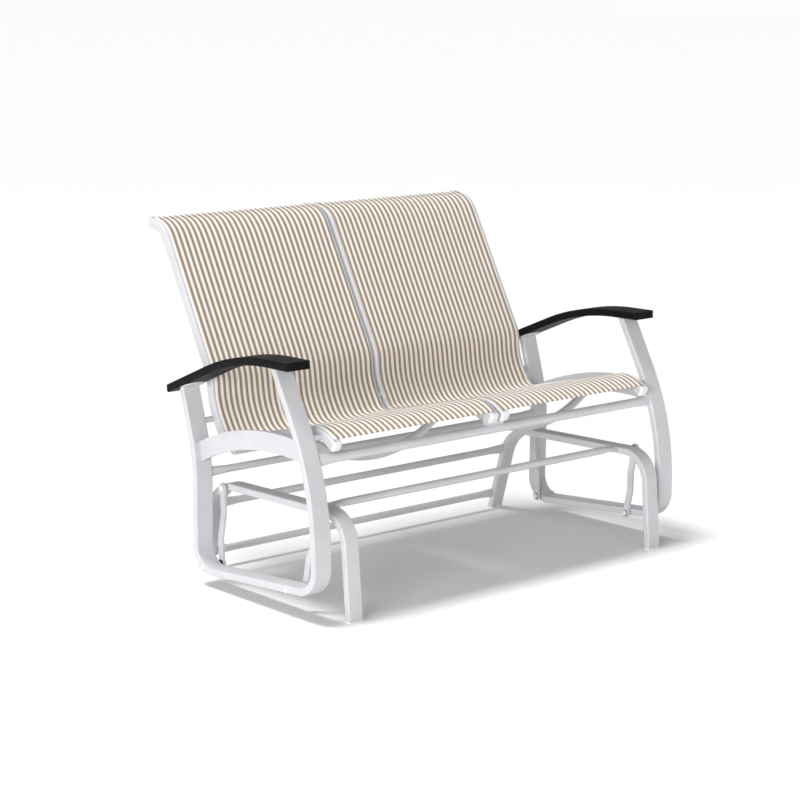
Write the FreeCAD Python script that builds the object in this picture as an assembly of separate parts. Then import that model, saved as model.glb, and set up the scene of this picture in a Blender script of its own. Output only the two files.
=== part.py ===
import FreeCAD, Part
import math
import os

os.makedirs("parts", exist_ok=True)

# A two-seat glider bench: a fixed base of two inverted U tubes, four hanging links,
# and a seat section of two looped arm frames that carry four sling rails.
# Millimetres. X runs along the bench, the front is -Y, Z is up from the floor.
# A place in a side view is (y, z). A corner of a bent tube is (y, z, bend radius).

# Arm frames: the looped side tubes of the seat section
ARM_TUBE_INNER_X = 572.0
ARM_TUBE_OUTER_X = 624.8
ARM_TUBE_DEPTH = 19.0
TUBE_WALL = 2.0
TUBE_CORNER = 4.0
ARM_FRAME_ROUTE = [
    (-240.0, 634.0, 0.0),
    (-393.5, 347.1, 633.0),
    (-393.5, 78.3, 66.5),
    (128.9, 38.6, 59.5),
    (117.1, 338.6, 425.0),
    (175.0, 546.0, 0.0),
]

# Base frames: the inverted U tubes that stand on the floor
BASE_TUBE_INNER_X = 501.0
BASE_TUBE_OUTER_X = 545.0
BASE_ROUTE = [
    (-425.5, -24.0, 0.0),
    (-407.4, 264.7, 78.5),
    (152.5, 254.9, 115.0),
    (242.7, -24.0, 0.0),
]
FOOT_PLUG_HEIGHT = 3.0
FOOT_PLUG_LIP = 0.7
FOOT_SPIGOT_HEIGHT = 22.0

# Linkage: pivots at rest, and the play at the lower front pivot
REAR_TOP_PIVOT = (94.0, 253.5)
REAR_LOW_PIVOT = (91.0, 51.5)
FRONT_TOP_PIVOT = (-327.5, 264.0)
FRONT_LOW_PIVOT = (-281.0, 67.4)
LINK_WIDTH = 20.0
LINK_THICKNESS = 6.0
LINK_EYE_RADIUS = 13.0
LINK_TOP_INNER_X = 549.5
LINK_LOW_INNER_X = 561.5
LINK_JOG_START = 70.0
LINK_JOG_END = 132.0
PIVOT_BOLT_RADIUS = 4.0
PIVOT_FIT = 0.05
LOOSE_PIVOT_PLAY = 1.7
BUSHING_RADIUS = 7.2
SPACER_RADIUS = 9.5
FLANGE_RADIUS = 9.0
FLANGE_THICKNESS = 0.8
FACE_GAP = 0.15
PIVOT_HEAD_RADIUS = 9.0
PIVOT_HEAD_HEIGHT = 5.5
INSERT_DEPTH = 22.0
INSERT_RADIUS = 6.4
LOW_HEAD_RADIUS = 7.0
LOW_NUT_RADIUS = 6.5
LOW_NUT_HEIGHT = 4.0

# Sling rails: the front surface of the seat and back, from the top of the back
# to the front of the seat, with a slot for the sling's edge in that surface
RAIL_SIZE = 28.0
RAIL_CORNER = 5.5
RAIL_WALL = 2.0
RAIL_ROUTE = [
    (422.7, 942.3, 0.0),
    (350.9, 929.0, 80.0),
    (141.0, 541.6, 106.0),
    (141.0, 472.0, 150.0),
    (90.4, 388.7, 30.0),
    (-325.0, 482.0, 110.0),
    (-383.5, 447.0, 0.0),
]
OUTER_RAIL_X = 517.0
CENTRE_RAIL_X = 5.0
SLOT_FROM_EDGE = 10.0
SLOT_WIDTH = 2.4
SLOT_DEPTH = 3.4
KEDER_CHANNEL_RADIUS = 3.2
KEDER_RADIUS = 2.7
SLING_THICKNESS = 1.4
SLING_TOP_SETBACK = 15.0
CAP_LENGTH = 7.0
CAP_ROUNDING = 5.0

# Bars across the bench
FRONT_RAIL_AT = (-357.0, 402.7)
FRONT_RAIL_DIAMETER = 24.0
REAR_RAIL_AT = (120.0, 295.5)
BASE_FRONT_BAR_AT = (-292.0, 265.5)
BASE_UPPER_BAR_AT = (173.0, 191.5)
BASE_LOWER_BAR_AT = (220.5, 49.0)
BAR_DIAMETER = 20.0
BAR_WALL = 1.6
FLARE_LENGTH = 60.0
FLARE_STEPS = 5
FLARE_LONG = 1.32
FLARE_SHORT = 0.63
NEARLY_ROUND = 0.001
REAR_SEAT_BAR_AT = (65.9, 354.44)
REAR_SEAT_BAR_HALF = 540.0
SPREADER_DIAMETER = 22.0
FRONT_SPREADER_Y = -200.0
FRONT_SPREADER_LOW_Z = 347.0
FRONT_SPREADER_RADIUS = 330.0
FRONT_SPREADER_SLOPE = math.radians(33.0)
PADDLE_WIDTH = 34.0
PADDLE_THICKNESS = 10.0
PADDLE_LENGTH = 62.0
PADDLE_FLAT = 26.0
PADDLE_OVERRUN = 12.0
BACK_SPREADER_AT = (272.0, 736.0)
BACK_SPREADER_BOW = 46.0

# Side braces, spacers and screws
BRACE_X = 592.0
BRACE_THICKNESS = 12.7
BRACE_HEIGHT = 50.0
BRACE_WALL = 2.0
BRACE_CENTRE = (-225.0, -410.0)
BRACE_RADIUS = 838.0
RAIL_SPACER_RADIUS = 8.0
REAR_SPACER_AT = (141.0, 430.0)
FRONT_SPACER_AT = (-335.0, 454.5)
CENTRE_SPACER_AT = (127.0, 423.5)
RAIL_BOLT_RADIUS = 3.0
RAIL_BOLT_FIT = 0.1
RAIL_BOLT_HEAD_RADIUS = 6.0
RAIL_BOLT_HEAD_HEIGHT = 3.5
RAIL_NUT_LENGTH = 7.0
RAIL_NUT_RADIUS = 4.0
SADDLE_HALF_WIDTH = 26.0
SADDLE_HALF_DEPTH = 13.0
SADDLE_TRIM_HEIGHT = 60.0
TAB_THICKNESS = 3.0
TAB_DEPTH_RANGE = (-336.0, -302.0)
TAB_HEIGHT_RANGE = (256.5, 272.0)
TAB_SCREW_AT = (-312.0, 265.0)
TAB_SCREW_HEAD_RADIUS = 4.5
TAB_SCREW_HEAD_HEIGHT = 2.5
TAB_SCREW_REACH = 9.0
UPRIGHT_HOLE_AT = (611.0, 381.0)
UPRIGHT_HOLE_RADIUS = 2.0
UPRIGHT_HOLE_END_Y = 130.0

# Armrests: the top surface in side view, front to rear
ARMREST_INNER_X = 558.0
ARMREST_OUTER_X = 635.0
ARMREST_THICKNESS = 21.0
ARMREST_CORNER = 5.0
ARMREST_PLAN_CORNER = 8.0
ARMREST_ROUTE = [
    (-317.0, 644.5, 0.0),
    (-91.8, 644.5, 766.0),
    (226.0, 521.2, 0.0),
]
ARM_PLATE_AT_Y = 161.0
ARM_PLATE_HALF_LENGTH = 31.0
ARM_PLATE_HALF_WIDTH = 32.0
ARM_PLATE_THICKNESS = 3.0
ARM_SCREW_AHEAD = 21.0
ARM_SCREW_HEAD_RADIUS = 4.5
ARM_SCREW_HEAD_HEIGHT = 2.2
ARM_SCREW_RADIUS = 2.0
ARM_SCREW_REACH = 15.0

# Half of the size of the blocks that trim a shape, and how far a drilled hole is begun
# outside the wall that it goes through
BLOCK = 2000.0
DRILL = 5.0


def point(x, place):
    """A point in space from x and a side-view place."""
    return FreeCAD.Vector(x, place[0], place[1])


def step(place, heading, length):
    """The side-view place that lies a length away along a heading."""
    return (place[0] + length * math.cos(heading), place[1] + length * math.sin(heading))


def heading(start, end):
    """The direction from one side-view place to another, in radians."""
    return math.atan2(end[1] - start[1], end[0] - start[0])


def distance(start, end):
    """The length between two side-view places."""
    return math.hypot(end[0] - start[0], end[1] - start[1])


def runs_and_bends(corners):
    """The straight runs and tangent bends of a route through its corners."""
    pieces = []
    here = corners[0][:2]
    for before, corner, after in zip(corners, corners[1:], corners[2:]):
        way_in = heading(before, corner)
        way_out = heading(corner, after)
        turn = math.remainder(way_out - way_in, 2.0 * math.pi)
        reach = corner[2] * math.tan(abs(turn) / 2.0)
        start = step(corner, way_in, -reach)
        centre = step(start, way_in + math.copysign(math.pi / 2.0, turn), corner[2])
        pieces.append({"start": here, "way": way_in, "length": distance(here, start)})
        pieces.append({"start": start, "way": way_in, "centre": centre, "turn": turn})
        here = step(corner, way_out, reach)
    way = heading(corners[-2], corners[-1])
    pieces.append({"start": here, "way": way, "length": distance(here, corners[-1])})
    return pieces


def stood(shape, place, way):
    """A flat shape turned across a route: its x stays x, its y is the route's left side."""
    across = FreeCAD.Vector(1.0, 0.0, 0.0)
    left = FreeCAD.Vector(0.0, -math.sin(way), math.cos(way))
    turn = FreeCAD.Rotation(across, left, across.cross(left), "ZXY")
    moved = shape.copy()
    moved.Placement = FreeCAD.Placement(point(0.0, place), turn)
    return moved


def joined(shapes):
    """Touching solids as one, with the seams between them removed."""
    return shapes[0].multiFuse(shapes[1:]).removeSplitter()


def swept(face, corners):
    """A section carried along a route of straight runs and bends."""
    solids = []
    for piece in runs_and_bends(corners):
        section = stood(face, piece["start"], piece["way"])
        if "turn" in piece:
            axis = FreeCAD.Vector(math.copysign(1.0, piece["turn"]), 0.0, 0.0)
            angle = math.degrees(abs(piece["turn"]))
            solids.append(section.revolve(point(0.0, piece["centre"]), axis, angle))
        else:
            along = point(0.0, step((0.0, 0.0), piece["way"], piece["length"]))
            solids.append(section.extrude(along))
    return joined(solids)


def rounded_outline(left, right, low, high, radius):
    """A closed rectangle with round corners in the flat of a section."""
    arcs = []
    corners = [
        (right - radius, high - radius, 0.0),
        (left + radius, high - radius, 90.0),
        (left + radius, low + radius, 180.0),
        (right - radius, low + radius, 270.0),
    ]
    up = FreeCAD.Vector(0.0, 0.0, 1.0)
    for x, y, start in corners:
        circle = Part.Circle(FreeCAD.Vector(x, y, 0.0), up, radius)
        arcs.append(Part.ArcOfCircle(circle, math.radians(start), math.radians(start + 90.0)))
    edges = []
    for arc, following in zip(arcs, arcs[1:] + arcs[:1]):
        edges.append(arc.toShape())
        edges.append(Part.LineSegment(arc.EndPoint, following.StartPoint).toShape())
    return Part.Wire(edges)


def plate(left, right, low, high, radius):
    """The face inside a rounded outline."""
    return Part.Face(rounded_outline(left, right, low, high, radius))


def disc(x, y, radius):
    """A round face in the flat of a section."""
    circle = Part.Circle(FreeCAD.Vector(x, y, 0.0), FreeCAD.Vector(0.0, 0.0, 1.0), radius)
    return Part.Face(Part.Wire([circle.toShape()]))


def tube_faces(inner_x, outer_x, depth):
    """The outer and the inner section of a flat-sided tube."""
    half = depth / 2.0
    outside = plate(inner_x, outer_x, -half, half, TUBE_CORNER)
    inside = plate(
        inner_x + TUBE_WALL, outer_x - TUBE_WALL,
        -half + TUBE_WALL, half - TUBE_WALL, TUBE_CORNER - TUBE_WALL)
    return outside, inside


def rod(x_start, x_end, place, radius):
    """A round rod along X."""
    along = FreeCAD.Vector(1.0, 0.0, 0.0)
    return Part.makeCylinder(radius, x_end - x_start, point(x_start, place), along)


def domed(x_flat, x_top, place, radius):
    """A round head whose rim on the far side is rounded."""
    head = rod(min(x_flat, x_top), max(x_flat, x_top), place, radius)
    rim = [edge for edge in head.Edges
           if edge.Closed and abs(edge.CenterOfMass.x - x_top) < 0.01]
    return head.makeFillet(abs(x_top - x_flat) * 0.6, rim)


def block(x_range, y_range, z_range):
    """A box from its three ranges."""
    size = [high - low for low, high in (x_range, y_range, z_range)]
    return Part.makeBox(*size, FreeCAD.Vector(x_range[0], y_range[0], z_range[0]))


def everything_above(z):
    """A block that holds all that lies above a height."""
    return block((-BLOCK, BLOCK), (-BLOCK, BLOCK), (z, BLOCK))


def other_side(shape):
    """The same piece on the left half of the bench."""
    return shape.mirror(FreeCAD.Vector(), FreeCAD.Vector(1.0, 0.0, 0.0))


def both_sides(shapes):
    """Pieces of the right half together with those of the left half."""
    return shapes + [other_side(shape) for shape in shapes]


def save(name, solids):
    """Write the separate solids of one node."""
    shape = solids[0] if len(solids) == 1 else Part.makeCompound(solids)
    for solid in solids:
        if not solid.isValid() or len(solid.Solids) != 1:
            print("check the shape of", name, solid.isValid(), len(solid.Solids))
    shape.exportStep("parts/" + name + ".step")


def save_pair(name, shape):
    """Write a piece and its mirror image as a right and a left node."""
    save(name + "_right", [shape])
    save(name + "_left", [other_side(shape)])


def above_armrest(drop):
    """A large solid that starts a drop below the underside of the armrest and goes up."""
    face = plate(0.0, BLOCK, -ARMREST_THICKNESS - drop, BLOCK / 4.0, 1.0)
    return swept(face, ARMREST_ROUTE)


def arm_frame_outline():
    """The arm frame's tube without its bore, ended under the armrest."""
    outside, _ = tube_faces(ARM_TUBE_INNER_X, ARM_TUBE_OUTER_X, ARM_TUBE_DEPTH)
    return swept(outside, ARM_FRAME_ROUTE)


def arm_frame():
    """Looped side tube: both uprights and the low rail, bent from one length."""
    _, inside = tube_faces(ARM_TUBE_INNER_X, ARM_TUBE_OUTER_X, ARM_TUBE_DEPTH)
    tube = arm_frame_outline().cut(swept(inside, ARM_FRAME_ROUTE))
    rear_half = block((0.0, BLOCK), (0.0, BLOCK), (0.0, BLOCK))
    plate_room = above_armrest(ARM_PLATE_THICKNESS).common(rear_half)
    tube = tube.cut(above_armrest(0.0)).cut(plate_room)
    for place in (REAR_LOW_PIVOT, FRONT_LOW_PIVOT):
        tube = tube.cut(rod(ARM_TUBE_INNER_X - DRILL, ARM_TUBE_OUTER_X + DRILL, place,
                            PIVOT_BOLT_RADIUS + PIVOT_FIT))
    for place in (REAR_SPACER_AT, FRONT_SPACER_AT):
        tube = tube.cut(rod(ARM_TUBE_INNER_X - DRILL, ARM_TUBE_INNER_X + DRILL, place,
                            RAIL_BOLT_RADIUS + RAIL_BOLT_FIT))
    hole_at = FreeCAD.Vector(UPRIGHT_HOLE_AT[0], 0.0, UPRIGHT_HOLE_AT[1])
    to_rear = FreeCAD.Vector(0.0, 1.0, 0.0)
    tube = tube.cut(Part.makeCylinder(UPRIGHT_HOLE_RADIUS, UPRIGHT_HOLE_END_Y, hole_at, to_rear))
    return tube.removeSplitter()


def base_frame():
    """Inverted U tube that stands on two feet."""
    outside, inside = tube_faces(BASE_TUBE_INNER_X, BASE_TUBE_OUTER_X, ARM_TUBE_DEPTH)
    tube = swept(outside, BASE_ROUTE).cut(swept(inside, BASE_ROUTE))
    tube = tube.common(everything_above(FOOT_PLUG_HEIGHT))
    for place in (REAR_TOP_PIVOT, FRONT_TOP_PIVOT):
        tube = tube.cut(rod(BASE_TUBE_OUTER_X - DRILL, BASE_TUBE_OUTER_X + DRILL, place,
                            INSERT_RADIUS))
    return tube.cut(tab_screw_hole())


def foot_plugs():
    """Plastic plugs in the open ends of the base frame's legs."""
    outside, _ = tube_faces(
        BASE_TUBE_INNER_X - FOOT_PLUG_LIP, BASE_TUBE_OUTER_X + FOOT_PLUG_LIP,
        ARM_TUBE_DEPTH + 2.0 * FOOT_PLUG_LIP)
    _, inside = tube_faces(BASE_TUBE_INNER_X, BASE_TUBE_OUTER_X, ARM_TUBE_DEPTH)
    soles = swept(outside, BASE_ROUTE).common(
        block((0.0, BLOCK), (-BLOCK, BLOCK), (0.0, FOOT_PLUG_HEIGHT)))
    spigots = swept(inside, BASE_ROUTE).common(
        block((0.0, BLOCK), (-BLOCK, BLOCK), (0.0, FOOT_SPIGOT_HEIGHT)))
    return soles.fuse(spigots).removeSplitter().Solids


def flare_wire(x, place, long_size, short_size, flat):
    """One ellipse of a flare, drawn so that all of them start at the same side."""
    centre = point(x, place)
    along = FreeCAD.Vector(1.0, 0.0, 0.0)
    major = FreeCAD.Vector(0.0, 1.0, 0.0) if flat else FreeCAD.Vector(0.0, 0.0, 1.0)
    long_half = max(long_size / 2.0, short_size / 2.0 + NEARLY_ROUND)
    curve = Part.Ellipse(centre + major * long_half,
                         centre + along.cross(major) * (short_size / 2.0), centre)
    return Part.Wire([curve.toShape()])


def flared_rod(half, place, diameter, inset, flat):
    """A round rod along X whose two ends are pressed to an ellipse."""
    round_size = diameter - 2.0 * inset
    major = diameter * FLARE_LONG - 2.0 * inset
    minor = diameter * FLARE_SHORT - 2.0 * inset
    shares = [index / FLARE_STEPS for index in range(FLARE_STEPS + 1)]
    wires = []
    for side, order in ((-1.0, reversed(shares)), (1.0, shares)):
        for share in order:
            blend = share * share * (3.0 - 2.0 * share)
            x = side * (half - FLARE_LENGTH * (1.0 - share))
            long_size = round_size + (major - round_size) * blend
            short_size = round_size + (minor - round_size) * blend
            wires.append(flare_wire(x, place, long_size, short_size, flat))
    return Part.makeLoft(wires, True, True)


def flared_bar(half, place, diameter, flat=False):
    """Round cross tube with flattened ends that butt against the side frames."""
    outside = flared_rod(half, place, diameter, 0.0, flat)
    inside = flared_rod(half, place, diameter, BAR_WALL, flat)
    return outside.cut(inside)


def base_front_bar():
    """Front cross tube of the base, with a small tab at each end."""
    bar = flared_bar(BASE_TUBE_INNER_X, BASE_FRONT_BAR_AT, BAR_DIAMETER, flat=True)
    tab_x = (BASE_TUBE_INNER_X - TAB_THICKNESS, BASE_TUBE_INNER_X)
    tab = block(tab_x, TAB_DEPTH_RANGE, TAB_HEIGHT_RANGE).cut(tab_screw_hole())
    return joined([bar, tab, other_side(tab)])


def tab_screw_hole():
    """The hole through the front bar's tab and the wall of the base frame."""
    return rod(BASE_TUBE_INNER_X - DRILL, BASE_TUBE_INNER_X + DRILL, TAB_SCREW_AT,
               RAIL_BOLT_RADIUS + RAIL_BOLT_FIT)


def tab_screw():
    """Small screw that holds the front bar's tab to the base frame."""
    face_x = BASE_TUBE_INNER_X - TAB_THICKNESS
    head = domed(face_x, face_x - TAB_SCREW_HEAD_HEIGHT, TAB_SCREW_AT, TAB_SCREW_HEAD_RADIUS)
    return head.fuse(rod(face_x, face_x + TAB_SCREW_REACH, TAB_SCREW_AT, RAIL_BOLT_RADIUS))


def pivot_insert(place):
    """Threaded sleeve in the outer wall of the base tube."""
    start = BASE_TUBE_OUTER_X - INSERT_DEPTH
    sleeve = rod(start, BASE_TUBE_OUTER_X, place, INSERT_RADIUS)
    return sleeve.cut(rod(start, BASE_TUBE_OUTER_X, place, PIVOT_BOLT_RADIUS))


def upper_pivot_bolt(place):
    """Bolt that hangs a link on the base, with a round cap outside."""
    head_x = LINK_TOP_INNER_X + LINK_THICKNESS + FLANGE_THICKNESS + FACE_GAP
    shank = rod(BASE_TUBE_OUTER_X - INSERT_DEPTH, head_x, place, PIVOT_BOLT_RADIUS)
    return shank.fuse(domed(head_x, head_x + PIVOT_HEAD_HEIGHT, place, PIVOT_HEAD_RADIUS))


def lower_pivot_bolt(place):
    """Bolt through the lower eye of a link and the arm frame's low rail."""
    head_x = LINK_LOW_INNER_X - FLANGE_THICKNESS - FACE_GAP
    shank = rod(head_x, ARM_TUBE_OUTER_X + LOW_NUT_HEIGHT - 2.0, place, PIVOT_BOLT_RADIUS)
    return shank.fuse(domed(head_x, head_x - PIVOT_HEAD_HEIGHT, place, LOW_HEAD_RADIUS))


def lower_pivot_nut(place):
    """Cap nut on the outer face of the arm frame."""
    end = ARM_TUBE_OUTER_X + LOW_NUT_HEIGHT
    cap = domed(ARM_TUBE_OUTER_X, end, place, LOW_NUT_RADIUS)
    return cap.cut(rod(ARM_TUBE_OUTER_X, end - 2.0, place, PIVOT_BOLT_RADIUS))


def link(top, low):
    """Flat bar with two round eyes, jogged outward between them."""
    length = distance(top, low)
    reach = LINK_EYE_RADIUS + 1.0
    side = [
        (LINK_TOP_INNER_X, reach),
        (LINK_TOP_INNER_X, -LINK_JOG_START),
        (LINK_LOW_INNER_X, -LINK_JOG_END),
        (LINK_LOW_INNER_X, -length - reach),
        (LINK_LOW_INNER_X + LINK_THICKNESS, -length - reach),
        (LINK_LOW_INNER_X + LINK_THICKNESS, -LINK_JOG_END),
        (LINK_TOP_INNER_X + LINK_THICKNESS, -LINK_JOG_START),
        (LINK_TOP_INNER_X + LINK_THICKNESS, reach),
    ]
    corners = [FreeCAD.Vector(x, -reach, z) for x, z in side]
    bar = Part.Face(Part.makePolygon(corners + corners[:1])).extrude(
        FreeCAD.Vector(0.0, 2.0 * reach, 0.0))
    wide_x = (LINK_TOP_INNER_X - DRILL, LINK_LOW_INNER_X + LINK_THICKNESS + DRILL)
    shank = block(wide_x, (-LINK_WIDTH / 2.0, LINK_WIDTH / 2.0), (-length, 0.0))
    eyes = [rod(*wide_x, (0.0, z), LINK_EYE_RADIUS) for z in (0.0, -length)]
    shape = bar.common(joined([shank] + eyes))
    for z in (0.0, -length):
        shape = shape.cut(rod(*wide_x, (0.0, z), BUSHING_RADIUS))
    lean = math.degrees(heading(top, low)) + 90.0
    shape.rotate(FreeCAD.Vector(), FreeCAD.Vector(1.0, 0.0, 0.0), lean)
    shape.translate(point(0.0, top))
    return shape


def bushing(place, inner_x, outward, bore):
    """Flanged sleeve in a link's eye, with the spacer ring on one side."""
    near = inner_x + LINK_THICKNESS
    if outward:
        ring = rod(near, ARM_TUBE_INNER_X - FACE_GAP, place, SPACER_RADIUS)
        flange = rod(inner_x - FLANGE_THICKNESS, inner_x, place, FLANGE_RADIUS)
    else:
        ring = rod(BASE_TUBE_OUTER_X + FACE_GAP, inner_x, place, SPACER_RADIUS)
        flange = rod(near, near + FLANGE_THICKNESS, place, FLANGE_RADIUS)
    sleeve = joined([rod(inner_x, near, place, BUSHING_RADIUS), ring, flange])
    return sleeve.cut(rod(BASE_TUBE_OUTER_X, ARM_TUBE_INNER_X, place, bore))


def rail_face(x_start, slot_x):
    """Section of a sling rail: a hollow square with a slot and a cord channel."""
    outside = plate(x_start, x_start + RAIL_SIZE, 0.0, RAIL_SIZE, RAIL_CORNER)
    channel_y = SLOT_DEPTH + KEDER_CHANNEL_RADIUS - 0.6
    shelf = channel_y + KEDER_CHANNEL_RADIUS + RAIL_WALL
    hollow = plate(x_start + RAIL_WALL, x_start + RAIL_SIZE - RAIL_WALL,
                   shelf, RAIL_SIZE - RAIL_WALL, RAIL_CORNER - RAIL_WALL)
    channel = disc(slot_x, channel_y, KEDER_CHANNEL_RADIUS)
    half_slot = SLOT_WIDTH / 2.0
    slot = Part.Face(Part.makePolygon([
        FreeCAD.Vector(slot_x - half_slot, -1.0, 0.0),
        FreeCAD.Vector(slot_x + half_slot, -1.0, 0.0),
        FreeCAD.Vector(slot_x + half_slot, channel_y, 0.0),
        FreeCAD.Vector(slot_x - half_slot, channel_y, 0.0),
        FreeCAD.Vector(slot_x - half_slot, -1.0, 0.0),
    ]))
    far_x = x_start + RAIL_SIZE if slot_x - x_start < RAIL_SIZE / 2.0 else x_start
    inner_edge = slot_x + math.copysign(KEDER_CHANNEL_RADIUS + RAIL_WALL, far_x - slot_x)
    outer_edge = far_x - math.copysign(RAIL_WALL, far_x - slot_x)
    pocket = plate(min(inner_edge, outer_edge), max(inner_edge, outer_edge),
                   RAIL_WALL, shelf - RAIL_WALL, RAIL_CORNER - RAIL_WALL)
    return outside.cut([hollow, channel, slot, pocket]).Faces[0]


def sling_rail(x_start, slot_x, bolt_places):
    """Bent aluminium rail that holds one edge of a sling."""
    rail = swept(rail_face(x_start, slot_x), RAIL_ROUTE)
    for place in bolt_places:
        hole = rod(x_start - 1.0, x_start + RAIL_SIZE + 1.0, place,
                   RAIL_BOLT_RADIUS + RAIL_BOLT_FIT)
        rail = rail.cut(hole)
    return rail


def rail_cap(x_start, place, way, outward):
    """Plastic cap with a rounded face on one end of a rail."""
    face = plate(x_start, x_start + RAIL_SIZE, 0.0, RAIL_SIZE, RAIL_CORNER)
    along = point(0.0, step((0.0, 0.0), way, outward))
    head = stood(face, place, way).extrude(along * CAP_LENGTH)
    far = point(0.0, place) + along * CAP_LENGTH
    rim = [edge for edge in head.Edges
           if all(abs((vertex.Point - far).dot(along)) < 0.01 for vertex in edge.Vertexes)]
    return head.makeFillet(CAP_ROUNDING, rim)


def rail_caps(x_start):
    """The caps on the top end and the front end of a rail."""
    way_from_top = heading(RAIL_ROUTE[0], RAIL_ROUTE[1])
    way_to_front = heading(RAIL_ROUTE[-2], RAIL_ROUTE[-1])
    return [
        rail_cap(x_start, RAIL_ROUTE[0], way_from_top, -1.0),
        rail_cap(x_start, RAIL_ROUTE[-1], way_to_front, 1.0),
    ]


def sling():
    """Fabric sheet held taut between two rails by a cord in each edge."""
    inner_slot = CENTRE_RAIL_X + SLOT_FROM_EDGE
    outer_slot = OUTER_RAIL_X + RAIL_SIZE - SLOT_FROM_EDGE
    half = SLING_THICKNESS / 2.0
    channel_y = SLOT_DEPTH + KEDER_CHANNEL_RADIUS - 0.6
    outline = [
        (inner_slot - half, -SLING_THICKNESS),
        (outer_slot + half, -SLING_THICKNESS),
        (outer_slot + half, channel_y),
        (outer_slot - half, channel_y),
        (outer_slot - half, 0.0),
        (inner_slot + half, 0.0),
        (inner_slot + half, channel_y),
        (inner_slot - half, channel_y),
    ]
    corners = [FreeCAD.Vector(x, y, 0.0) for x, y in outline]
    sheet = Part.Face(Part.makePolygon(corners + corners[:1]))
    cords = [disc(x, channel_y, KEDER_RADIUS) for x in (inner_slot, outer_slot)]
    face = sheet.multiFuse(cords).removeSplitter().Faces[0]
    start = RAIL_ROUTE[0]
    way = heading(start, RAIL_ROUTE[1])
    setback = step(start, way, SLING_TOP_SETBACK) + (0.0,)
    return swept(face, [setback] + RAIL_ROUTE[1:])


def paddle(end_z, slope):
    """Flattened end of a front spreader, wider along the rail that it meets."""
    half_wide = PADDLE_WIDTH / 2.0
    half_narrow = SPREADER_DIAMETER / 2.0
    half_thick = PADDLE_THICKNESS / 2.0
    outline = [
        (-PADDLE_OVERRUN, -half_wide),
        (PADDLE_FLAT, -half_wide),
        (PADDLE_LENGTH, -half_narrow),
        (PADDLE_LENGTH, half_narrow),
        (PADDLE_FLAT, half_wide),
        (-PADDLE_OVERRUN, half_wide),
    ]
    corners = [FreeCAD.Vector(x, y, -half_thick) for x, y in outline]
    flat = Part.Face(Part.makePolygon(corners + corners[:1])).extrude(
        FreeCAD.Vector(0.0, 0.0, PADDLE_THICKNESS))
    flat.rotate(FreeCAD.Vector(), FreeCAD.Vector(0.0, 1.0, 0.0), slope)
    flat.translate(FreeCAD.Vector(0.0, 0.0, end_z))
    return flat


def front_spreader():
    """Bowed tube with flattened ends that holds the two rails of a seat apart."""
    middle = (CENTRE_RAIL_X + OUTER_RAIL_X + RAIL_SIZE) / 2.0
    half_span = (OUTER_RAIL_X - CENTRE_RAIL_X - RAIL_SIZE) / 2.0
    slope = FRONT_SPREADER_SLOPE
    rise = FRONT_SPREADER_RADIUS * (1.0 / math.cos(slope) - 1.0)
    low_corner = FRONT_SPREADER_LOW_Z - rise
    end_z = low_corner + half_span * math.tan(slope)
    tube_half = half_span - (PADDLE_LENGTH - 12.0) * math.cos(slope)
    tube_z = low_corner + tube_half * math.tan(slope)
    corners = [
        (-tube_half, tube_z, 0.0),
        (0.0, low_corner, FRONT_SPREADER_RADIUS),
        (tube_half, tube_z, 0.0),
    ]
    outside = swept(disc(0.0, 0.0, SPREADER_DIAMETER / 2.0), corners)
    inside = swept(disc(0.0, 0.0, SPREADER_DIAMETER / 2.0 - BAR_WALL), corners)
    tube = outside.cut(inside)
    tube.rotate(FreeCAD.Vector(), FreeCAD.Vector(0.0, 0.0, 1.0), -90.0)
    first = paddle(end_z, math.degrees(slope)).translated(FreeCAD.Vector(-half_span, 0.0, 0.0))
    last = first.mirror(FreeCAD.Vector(), FreeCAD.Vector(1.0, 0.0, 0.0))
    shape = joined([tube, first, last])
    shape.translate(FreeCAD.Vector(middle, FRONT_SPREADER_Y, 0.0))
    room = block((middle - half_span, middle + half_span), (-BLOCK, BLOCK), (0.0, BLOCK))
    return shape.common(room)


def back_spreader():
    """Bar behind one back that holds its two rails apart, bowed to the rear."""
    middle = (CENTRE_RAIL_X + OUTER_RAIL_X + RAIL_SIZE) / 2.0
    half_span = (OUTER_RAIL_X - CENTRE_RAIL_X - RAIL_SIZE) / 2.0
    overrun = 15.0
    shoulder = 70.0
    corners = [
        (-half_span - overrun, 0.0, 0.0),
        (-half_span + shoulder * 0.2, 0.0, 60.0),
        (-half_span + shoulder, BACK_SPREADER_BOW, 60.0),
        (half_span - shoulder, BACK_SPREADER_BOW, 60.0),
        (half_span - shoulder * 0.2, 0.0, 60.0),
        (half_span + overrun, 0.0, 0.0),
    ]
    outside = swept(disc(0.0, 0.0, SPREADER_DIAMETER / 2.0), corners)
    inside = swept(disc(0.0, 0.0, SPREADER_DIAMETER / 2.0 - BAR_WALL), corners)
    tube = outside.cut(inside)
    tube.rotate(FreeCAD.Vector(), FreeCAD.Vector(0.0, 0.0, 1.0), -90.0)
    back_way = heading(RAIL_ROUTE[2], RAIL_ROUTE[1])
    tube.rotate(FreeCAD.Vector(), FreeCAD.Vector(1.0, 0.0, 0.0), math.degrees(back_way) - 180.0)
    tube.translate(point(middle, BACK_SPREADER_AT))
    room = block((middle - half_span, middle + half_span), (-BLOCK, BLOCK), (0.0, BLOCK))
    return tube.common(room)


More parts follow.
